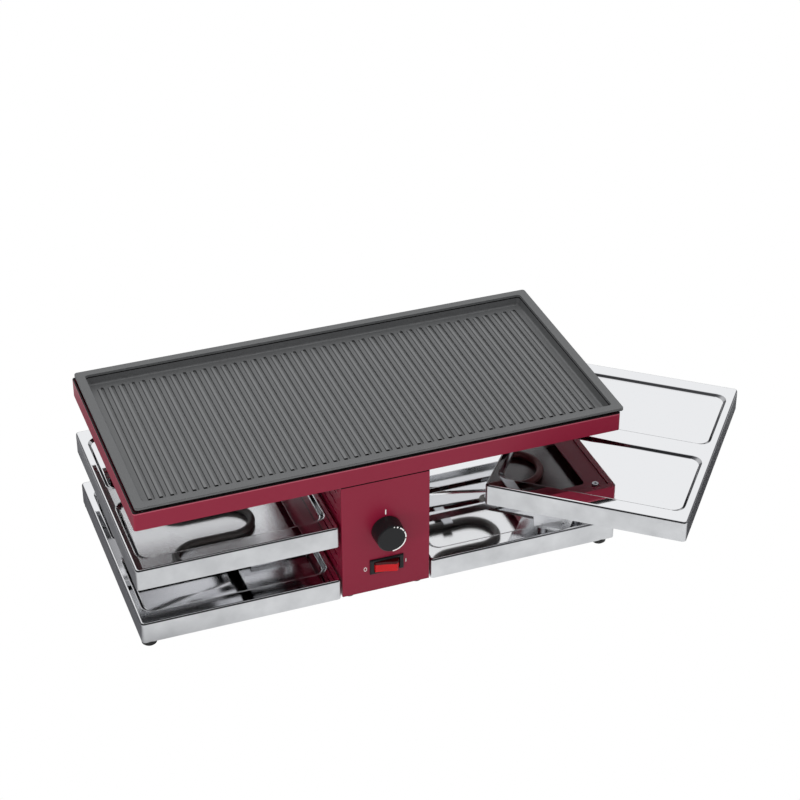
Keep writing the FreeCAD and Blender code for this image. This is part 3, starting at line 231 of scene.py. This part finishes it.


# Heater housing and column shells. Folded steel sheet, stoved with satin wine-red powder paint.
# Near-black bands at the housing's top and foot are painted shade, for the gap under the plate's
# rim and the joint along its foot, and a lighter band just under the top is a painted highlight.
# The left underside is painted darker, painted shade. The browned left underside and the bare
# strip beside the column there are guesses from what the trays mirror.
paint = new_finish("red_paint")
housing_low, housing_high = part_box("heater_housing")
level = paint.part_of(paint.place(), 2)
peel = paint.grain(420, 1.0)
tone = paint.grain(9)
# Painted shade: near-black bands at the housing's top, under the plate's rim, and at its foot.
gap_shade = level > housing_high.z - 0.0009
gap_shade = gap_shade + (abs(level - housing_low.z + 0.0006) < 0.0006)
# Painted highlight: a lighter band just under the housing's top, on its rolled edge.
painted_edge_highlight = abs(level - housing_high.z + 0.0015) < 0.0006
side = paint.part_of(paint.place(), 0)
facing_down = paint.facing(2) < -0.5
unpainted = (abs(side + 0.035) < 0.0355) * facing_down * (level > housing_low.z - 0.001)
red = paint.blend(tone, (0.205, 0.006, 0.026), (0.225, 0.008, 0.031))
red = paint.blend(painted_edge_highlight, red, (0.34, 0.06, 0.09))
red = paint.blend(gap_shade, red, (0.006, 0.001, 0.002))
# Painted shade: the housing's left underside is painted darker.
red = paint.blend(facing_down * (side < 0), red, (0.055, 0.014, 0.018))
dress(paint.coat({
    "Base Color": paint.blend(unpainted, red, (0.84, 0.84, 0.85)),
    "Metallic": unpainted,
    "Roughness": paint.fade(peel, 0.35, 0.65, 0.36, 0.44) - unpainted * 0.26,
    "Specular IOR Level": 0.3,
    "Normal": paint.relief(peel, 0.00002, 0.5),
}), "heater_housing", "housing_floor", "column_side_left", "column_side_right",
    "column_back", "column_front_panel")


# Heating elements. Steel tubes packed with insulation, bent cold. Use has turned them dark, with
# brown and blue patches where they glow, and left a dry, slightly rough skin. At the front right
# they are painted red-brown, a painted highlight.
tube = new_finish("heater_tube")
scale = tube.grain(600, 3.0)
heat = tube.grain(14)
dark = tube.blend(scale, (0.075, 0.072, 0.070), (0.130, 0.125, 0.120))
dark = tube.blend(tube.fade(heat, 0.5, 0.7), dark, (0.085, 0.068, 0.062))
# Painted highlight: the tubes are painted red-brown at the front right.
red_highlight = tube.fade(tube.part_of(tube.place(), 0), 0.02, 0.05) * tube.fade(
    tube.part_of(tube.place(), 1), -0.01, 0.02, 1.0, 0.0)
dress(tube.coat({
    "Base Color": tube.blend(red_highlight, dark, (0.110, 0.020, 0.022)),
    "Metallic": 0.3,
    "Roughness": tube.fade(scale, 0.3, 0.7, 0.40, 0.55),
    "Normal": tube.relief(scale, 0.00004, 0.6),
}), "heating_element_left", "heating_element_right")


# Tube ends and leads. Glazed ceramic beads close the tubes' cold ends, and leads in woven glass
# sleeving run from them down the column to the thermostat, switch and clamps.
glaze = new_finish("ceramic")
craze = glaze.grain(900)
dress(glaze.coat({
    "Base Color": glaze.blend(craze, (0.66, 0.63, 0.57), (0.76, 0.73, 0.67)),
    "Roughness": glaze.fade(craze, 0.3, 0.7, 0.22, 0.32),
    "Normal": glaze.relief(craze, 0.00002, 0.5),
}), "element_terminals")

sleeve = new_finish("glass_sleeve")
weave = sleeve.grain(1800, 1.0, (1, 1, 0.35))
dress(sleeve.coat({
    "Base Color": sleeve.blend(weave, (0.44, 0.42, 0.37), (0.68, 0.66, 0.60)),
    "Roughness": 0.8,
    "Normal": sleeve.relief(weave, 0.0001, 0.9),
}), "internal_wiring")


# Plated fittings. Seats, strips, saddles, brackets, rail, posts and all the screws: zinc-plated
# steel, folded or turned, with the plating's faint cloudy spangle.
zinc = new_finish("zinc_steel")
spangle = zinc.grain(260, 1.0)
fine = zinc.grain(1400)
dress(zinc.coat({
    "Base Color": zinc.blend(spangle, (0.46, 0.47, 0.49), (0.60, 0.61, 0.63)),
    "Metallic": 1.0,
    "Roughness": zinc.fade(spangle, 0.3, 0.7, 0.30, 0.44),
    "Normal": zinc.relief(fine, 0.00003, 0.5),
}), *[part["node"] for part in frame["record"]["subparts"]
      if part["material_slot"] == "zinc_steel"])

# Tray carriers. The rail, the brackets and the upper trays' floors are of the same sheet,
# rolled bright and smooth.
bright = new_finish("bright_sheet")
haze = bright.grain(12)
dress(bright.coat({
    "Base Color": bright.blend(haze, (0.80, 0.805, 0.815), (0.86, 0.865, 0.875)),
    "Metallic": 1.0,
    "Roughness": bright.fade(haze, 0.3, 0.7, 0.12, 0.18),
}), "tray_rail", "tray_bracket_left", "tray_bracket_right", "tray_floor_left", "tray_floor_right")


# Thermostat and its knob. A capillary thermostat hangs behind the panel by a brass bush and
# nut. Its turned steel shaft carries a plain, slightly tapered knob of black plastic.
black = new_finish("black_plastic")
mould = black.grain(1300, 3.0)
dress(black.coat({
    "Base Color": black.blend(mould, (0.006, 0.006, 0.007), (0.012, 0.012, 0.013)),
    "Roughness": black.fade(mould, 0.3, 0.7, 0.36, 0.46),
    "Specular IOR Level": 0.25,
    "Normal": black.relief(mould, 0.00002, 0.5),
}), "control_knob", "thermostat_body", "switch_housing", "cable_gland")

brass = new_finish("brass")
turning = brass.grain(700, 2.0, (1, 6, 1))
dress(brass.coat({
    "Base Color": brass.blend(turning, (0.52, 0.37, 0.15), (0.66, 0.49, 0.23)),
    "Metallic": 1.0,
    "Roughness": brass.fade(turning, 0.3, 0.7, 0.24, 0.36),
    "Normal": brass.relief(turning, 0.00003, 0.5),
}), "thermostat_bush")

steel = new_finish("turned_steel")
lathe = steel.grain(800, 2.0, (1, 1, 5))
dress(steel.coat({
    "Base Color": steel.blend(lathe, (0.42, 0.42, 0.43), (0.56, 0.56, 0.57)),
    "Metallic": 1.0,
    "Roughness": steel.fade(lathe, 0.3, 0.7, 0.22, 0.34),
    "Normal": steel.relief(lathe, 0.00002, 0.5),
}), "thermostat_shaft", "swivel_pin_left", "swivel_pin_right", "guide_pin_left", "guide_pin_right")


# Knob scale. White print round the edge of the knob's face: two dots and three dashes that
# grow clockwise, a plain heat scale. It is a layer of ink and turns with the knob.
ink_depth = 0.00012
knob_low, knob_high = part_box("control_knob")
knob_middle = Vector((0, knob_low.y, (knob_low.z + knob_high.z) / 2))

ink = new_finish("white_ink")
dabs = ink.grain(2500)
white_ink = ink.coat({
    "Base Color": ink.blend(dabs, (0.74, 0.72, 0.70), (0.86, 0.84, 0.82)),
    "Roughness": ink.fade(dabs, 0.3, 0.7, 0.45, 0.60),
    "Normal": ink.relief(dabs, 0.00001, 0.4),
})


def begin(primitive, **where):
    """Starts a new piece from a primitive, with nothing else selected."""
    bpy.ops.object.select_all(action="DESELECT")
    primitive(**where)
    return bpy.context.object


def stand_up(piece):
    """Turns a flat start on the table to face the front of the grill."""
    piece.rotation_euler.x = math.radians(90)
    bpy.ops.object.transform_apply(location=True, rotation=True, scale=True)


def thicken(piece, depth):
    """Gives a front-facing layer its depth, backwards from its face."""
    build = piece.modifiers.new("ink", "SOLIDIFY")
    build.thickness = depth
    build.offset = 1.0
    bpy.ops.object.modifier_apply(modifier=build.name)


def joined(name, pieces, material, body):
    """Makes one named piece of several, and gives it its finish and its body."""
    bpy.ops.object.select_all(action="DESELECT")
    for piece in pieces:
        piece.select_set(True)
    bpy.context.view_layer.objects.active = pieces[0]
    if len(pieces) > 1:
        bpy.ops.object.join()
    whole = bpy.context.object
    whole.name = name
    bpy.context.scene.cursor.location = (0, 0, 0)
    bpy.ops.object.origin_set(type="ORIGIN_CURSOR")
    whole.data.materials.clear()
    whole.data.materials.append(material)
    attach(whole, body)
    return whole


def open_ring(piece, width):
    """Makes a filled circle a ring of the given width."""
    bpy.ops.object.mode_set(mode="EDIT")
    bpy.ops.mesh.select_all(action="SELECT")
    bpy.ops.mesh.inset(thickness=width)
    bpy.ops.mesh.delete(type="FACE")
    bpy.ops.object.mode_set(mode="OBJECT")


def keep_faces(piece, wanted):
    """Cuts away each face whose middle the test does not want."""
    bpy.ops.object.mode_set(mode="EDIT")
    bpy.ops.mesh.select_mode(type="FACE")
    bpy.ops.mesh.select_all(action="DESELECT")
    mesh = bmesh.from_edit_mesh(piece.data)
    for face in mesh.faces:
        face.select = not wanted(face.calc_center_median())
    bmesh.update_edit_mesh(piece.data)
    bpy.ops.mesh.delete(type="FACE")
    bpy.ops.object.mode_set(mode="OBJECT")


def in_a_dash(place):
    """Whether a point lies in one of the three dashes, by its clock angle."""
    clock = math.degrees(math.atan2(place.x, place.z - knob_middle.z))
    return 35 < clock < 58 or 64 < clock < 94 or 100 < clock < 179


scale_marks = []
for clock, size in ((8.6, 0.00055), (23, 0.0008)):
    turn = math.radians(clock)
    spot = knob_middle + Vector((math.sin(turn), 0, math.cos(turn))) * 0.0128
    dot = begin(bpy.ops.mesh.primitive_circle_add, vertices=20, radius=size,
                fill_type="NGON", location=spot)
    stand_up(dot)
    thicken(dot, ink_depth)
    scale_marks.append(dot)
dashes = begin(bpy.ops.mesh.primitive_circle_add, vertices=360, radius=0.01345,
               fill_type="NGON", location=knob_middle)
open_ring(dashes, 0.0011)
stand_up(dashes)
keep_faces(dashes, in_a_dash)
thicken(dashes, ink_depth)
scale_marks.append(dashes)
joined("knob_scale", scale_marks, white_ink, "knob")


# Panel marks. Printed in the same white ink on the front panel: the tick that the knob is
# read against, and the plain zero and one on either side of the switch.
panel_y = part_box("column_front_panel")[0].y
panel_marks = []
for x, z, width, tall in ((-0.0002, 0.0913, 0.0011, 0.0054), (0.0192, 0.0324, 0.0007, 0.0038)):
    bar = begin(bpy.ops.mesh.primitive_plane_add, size=1, location=(x, panel_y, z))
    bar.scale = (width, tall, 1)
    stand_up(bar)
    bpy.ops.object.mode_set(mode="EDIT")
    bpy.ops.mesh.select_all(action="SELECT")
    bpy.ops.mesh.bevel(offset=0.00025, segments=3, affect="VERTICES")
    bpy.ops.object.mode_set(mode="OBJECT")
    thicken(bar, ink_depth)
    panel_marks.append(bar)
zero = begin(bpy.ops.mesh.primitive_circle_add, vertices=40, radius=0.0015,
             fill_type="NGON", location=(-0.0203, panel_y, 0.0317))
open_ring(zero, 0.00042)
zero.scale = (1, 1.5, 1)
stand_up(zero)
thicken(zero, ink_depth)
panel_marks.append(zero)
joined("panel_marks", panel_marks, white_ink, "base")


# Rocker switch. A snap-in switch: black housing with a flat bezel, and a rocker moulded in
# clear red plastic. Its upper band is painted nearly black, for the shade of the housing.
lens = new_finish("red_lens")
rocker_low, rocker_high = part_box("switch_rocker")
shaded = rocker_low.z + (rocker_high.z - rocker_low.z) * 0.72
depth_tone = lens.grain(120)
glassy = lens.blend(depth_tone, (0.42, 0.003, 0.006), (0.54, 0.006, 0.010))
above = lens.fade(lens.part_of(lens.place(), 2), shaded - 0.0004, shaded + 0.0004)
dress(lens.coat({
    "Base Color": lens.blend(above, glassy, (0.045, 0.001, 0.002)),
    "Roughness": lens.fade(depth_tone, 0.3, 0.7, 0.20, 0.28),
    "Specular IOR Level": 0.25,
    "Normal": lens.relief(depth_tone, 0.00003, 0.3),
}), "switch_rocker")


# Nylon parts. The terminal block inside the column and the two glides that run in the rail
# are moulded in plain off-white nylon, a little cloudy and waxy.
nylon = new_finish("white_nylon")
wax = nylon.grain(500)
dress(nylon.coat({
    "Base Color": nylon.blend(wax, (0.62, 0.60, 0.54), (0.72, 0.70, 0.64)),
    "Roughness": nylon.fade(wax, 0.3, 0.7, 0.36, 0.46),
    "Normal": nylon.relief(wax, 0.00002, 0.5),
}), "terminal_block", "glide_left", "glide_right")


# Trays. Stainless sheet, deep-drawn with two recesses a tray and folded down all round. The
# tops are mirror-polished and the upright sides ground satin. The pressed edges between them
# are painted dark, a painted reflection for the fine dark lines that polished bends show.
polish = new_finish("polished_steel")
tilt = abs(polish.facing(2))
flat = polish.fade(tilt, 0.30, 0.75)
# Painted reflection: the bends between the tops and the sides are painted dark.
painted_bends = polish.fade(tilt, 0.25, 0.40) * polish.fade(tilt, 0.80, 0.93, 1.0, 0.0)
under = polish.fade(polish.facing(2), -0.8, -0.3, 1.0, 0.0)
lines = polish.grain(900, 2.0, (1, 1, 14))
smears = polish.grain(45, 3.0)
ripple = polish.grain(14, 1.0)
satin = polish.blend(polish.fade(smears, 0.3, 0.7), (0.60, 0.605, 0.615), (0.74, 0.745, 0.755))
sheet = polish.blend(flat, satin, (0.88, 0.88, 0.89))
dress(polish.coat({
    "Base Color": polish.blend(painted_bends, sheet, (0.20, 0.20, 0.21)),
    "Metallic": 1.0,
    "Roughness": (1 - flat) * polish.fade(lines, 0.3, 0.7, 0.24, 0.34) + 0.04 + under * 0.06,
    "Normal": polish.relief(ripple, 0.0002, 0.2),
}), "upper_tray_left", "upper_tray_right", "lower_tray_left", "lower_tray_right")


# Feet. Turned rubber feet with a rounded sole, pressed by their pegs into the base
# plate: four under the trays' corners and four under the column.
rubber = new_finish("rubber")
dust = rubber.grain(900, 3.0)
dress(rubber.coat({
    "Base Color": rubber.blend(dust, (0.008, 0.008, 0.008), (0.022, 0.021, 0.020)),
    "Roughness": rubber.fade(dust, 0.3, 0.7, 0.55, 0.70),
    "Normal": rubber.relief(dust, 0.00004, 0.6),
}), "tray_feet", "column_feet")


# Studio floor. A white table top. The camera sees it pure white, with no shadow; polished metal
# sees it bright too, but for a grey patch at each end, a painted shadow of the grill.
floor = begin(bpy.ops.mesh.primitive_plane_add, size=12, location=(0, 0, -0.0004))
floor.name = "floor"
bpy.ops.object.transform_apply(location=True, rotation=True, scale=True)
table = new_finish("floor_white")
camera_ray = table.add("LightPath", {}, {}, "Is Camera Ray")
glossy_ray = table.add("LightPath", {}, {}, "Is Glossy Ray")
spot = table.place()
east = table.part_of(spot, 0)
north = table.part_of(spot, 1)
# Painted shadow: grey patches beside the grill's ends, which only polished metal sees.
left_shadow_patch = table.fade(abs(east + 0.265), 0.04, 0.14, 1.0, 0.0) * table.fade(
    abs(north - 0.10), 0.20, 0.25, 1.0, 0.0)
right_shadow_patch = table.fade(abs(east - 0.41), 0.12, 0.17, 1.0, 0.0) * table.fade(
    abs(north + 0.05), 0.14, 0.24, 1.0, 0.0)
mirrored = table.blend(left_shadow_patch, (0.90, 0.91, 0.92), (0.13, 0.13, 0.14))
mirrored = table.blend(right_shadow_patch, mirrored, (0.03, 0.03, 0.035))
light = table.add("Emission", {}, {"Color": table.blend(camera_ray, mirrored, (1, 1, 1))})
matt = table.add("BsdfPrincipled", {}, {"Base Color": (0.8, 0.8, 0.8), "Roughness": 0.9})
seen = camera_ray + glossy_ray
mixed = table.add("MixShader", {}, {0: seen, 1: matt, 2: light})
table.add("OutputMaterial", {}, {"Surface": mixed})
floor.data.materials.append(table.owner)


# Studio room. A white wall behind the grill and a white ceiling. Polished metal also mirrors
# the dark rest of the studio, low down all round and high up behind the camera.
room = Finish(bpy.data.worlds.new("studio"))
bpy.context.scene.world = room.owner
way = room.add("TexCoord", {}, {}, "Generated")
upward = room.part_of(way, 2)
white_wall = room.fade(room.part_of(way, 1) + room.part_of(way, 0) * 0.6, -0.30, 0.25)
white_wall = white_wall * room.fade(upward, 0.14, 0.30)
mirror = room.blend(white_wall, (0.05, 0.05, 0.055), (0.93, 0.94, 0.95))
mirror = room.blend(room.fade(upward, 0.88, 0.97), mirror, (0.93, 0.94, 0.95))
glossy = room.add("LightPath", {}, {}, "Is Glossy Ray")
camera_sees = room.add("LightPath", {}, {}, "Is Camera Ray")
air = room.blend(camera_sees, room.blend(glossy, (0.86, 0.87, 0.88), mirror), (1, 1, 1))
sky = room.add("Background", {}, {"Color": air})
room.add("OutputWorld", {}, {"Surface": sky})


# Lamps. Three soft boxes: the key from the front left, a low one from the left that throws
# the knob's shade across the panel, and a weak one overhead. None shows in the metal.
for name, spot, aim, wide, tall, power in (
        ("key_lamp", (-0.9, -1.6, 1.5), (0, 0, 0.08), 1.2, 0.9, 10),
        ("left_lamp", (-1.7, -1.1, 0.25), (0, -0.1, 0.08), 0.3, 0.3, 7),
        ("top_lamp", (0.2, 0.4, 1.8), (0, 0, 0.1), 1.6, 1.2, 10)):
    bpy.ops.object.light_add(type="AREA", location=spot)
    lamp = bpy.context.object
    lamp.name = name
    lamp.data.shape = "RECTANGLE"
    lamp.data.size = wide
    lamp.data.size_y = tall
    lamp.data.energy = power
    lamp.visible_glossy = False
    lamp.rotation_euler = (Vector(aim) - Vector(spot)).to_track_quat("-Z", "Y").to_euler()


# Finish. The picture is taken as it is, with no look laid over it.
bpy.context.scene.view_settings.view_transform = "Standard"
